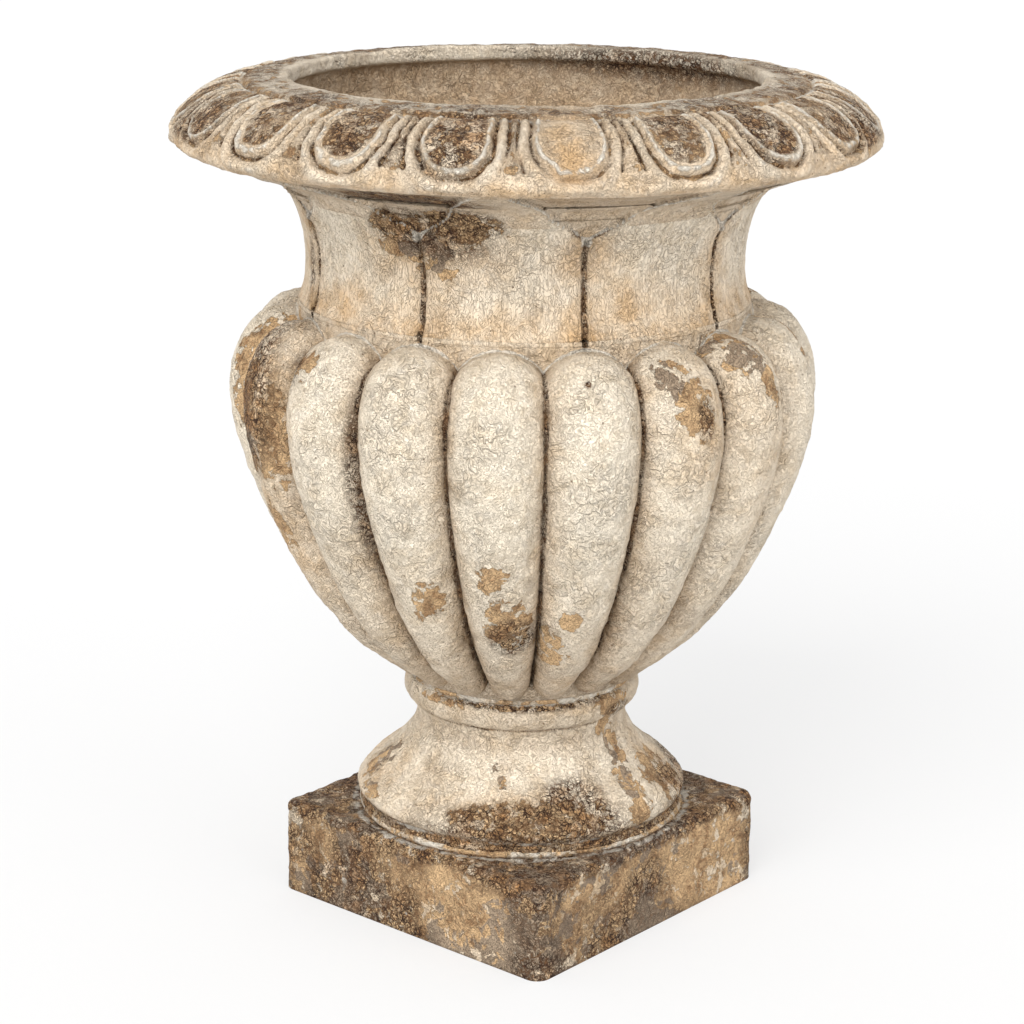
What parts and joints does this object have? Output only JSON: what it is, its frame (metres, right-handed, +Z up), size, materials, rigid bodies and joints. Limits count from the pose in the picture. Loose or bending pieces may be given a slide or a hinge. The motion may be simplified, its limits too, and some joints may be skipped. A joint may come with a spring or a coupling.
{
  "type": "urn planter",
  "caption": "Classical cast-stone garden urn: square plinth, waisted foot, lobed bowl, panelled neck and a wide egg-and-dart rim, hollow for planting, with a central drain.",
  "frame": {"origin": "centre of the plinth's underside, on the ground", "axes": "+Z up along the urn's axis; X and Y square to the plinth's sides"},
  "size_m": [0.4958, 0.4958, 0.61],
  "materials": {
    "cast_stone": "weathered, brushed coat with worn patches",
    "mortar": "matt lime mortar",
    "zinc_steel": "dull zinc",
    "seal_rubber": "matt"
  },
  "bodies": {
    "root": {"plinth": "cast_stone", "foot": "cast_stone", "bowl": "cast_stone", "neck": "cast_stone", "rim": "cast_stone", "plinth_mortar": "mortar", "foot_mortar": "mortar", "bowl_mortar": "mortar", "neck_mortar": "mortar", "plinth_dowels": "zinc_steel", "foot_dowels": "zinc_steel", "bowl_dowels": "zinc_steel", "neck_dowels": "zinc_steel", "rim_hoop": "zinc_steel", "drain_tie": "zinc_steel", "lower_washer": "zinc_steel", "lower_nut": "zinc_steel", "upper_washer": "zinc_steel", "upper_nut": "zinc_steel", "drain_seal": "seal_rubber"}
  },
  "joints": []
}
